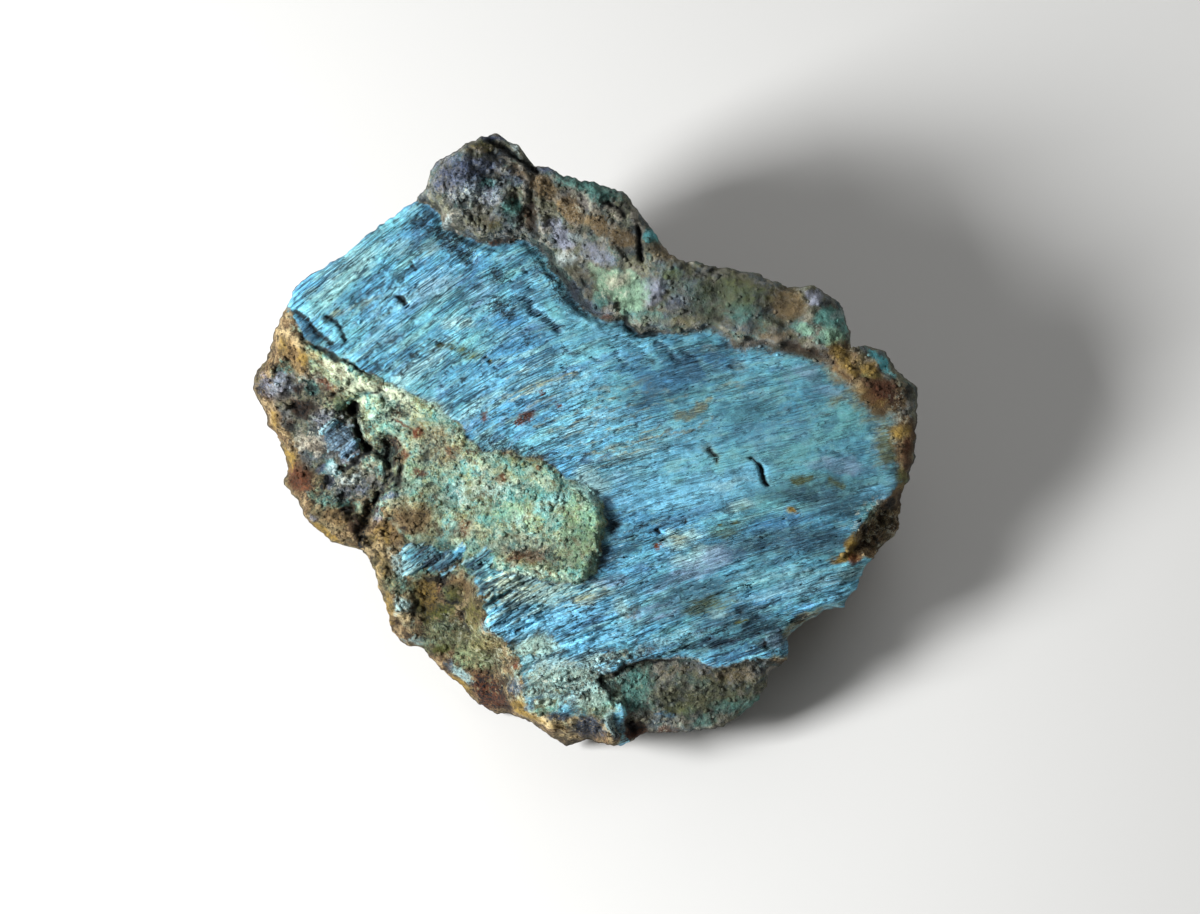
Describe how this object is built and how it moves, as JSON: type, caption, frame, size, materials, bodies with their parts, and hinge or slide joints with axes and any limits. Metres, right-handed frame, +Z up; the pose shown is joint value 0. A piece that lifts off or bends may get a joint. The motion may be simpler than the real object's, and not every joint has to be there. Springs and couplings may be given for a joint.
{
  "type": "aerinite hand specimen",
  "caption": "Broken piece of altered rock with a fibrous sky-blue aerinite vein on its tilted face, a pale green granular crust, a rock ridge and rusty edges.",
  "frame": {"origin": "on the surface that the specimen lies on, under the middle of its box", "axes": "+Z up; +X along the specimen's length, to the right as one looks at its face; the face leans towards -Y"},
  "size_m": [0.0674, 0.0606, 0.0352],
  "materials": {
    "aerinite_rock": "dry, matt and fibrous, with granular and rusty patches"
  },
  "bodies": {
    "root": {"aerinite_specimen": "aerinite_rock"}
  },
  "joints": []
}
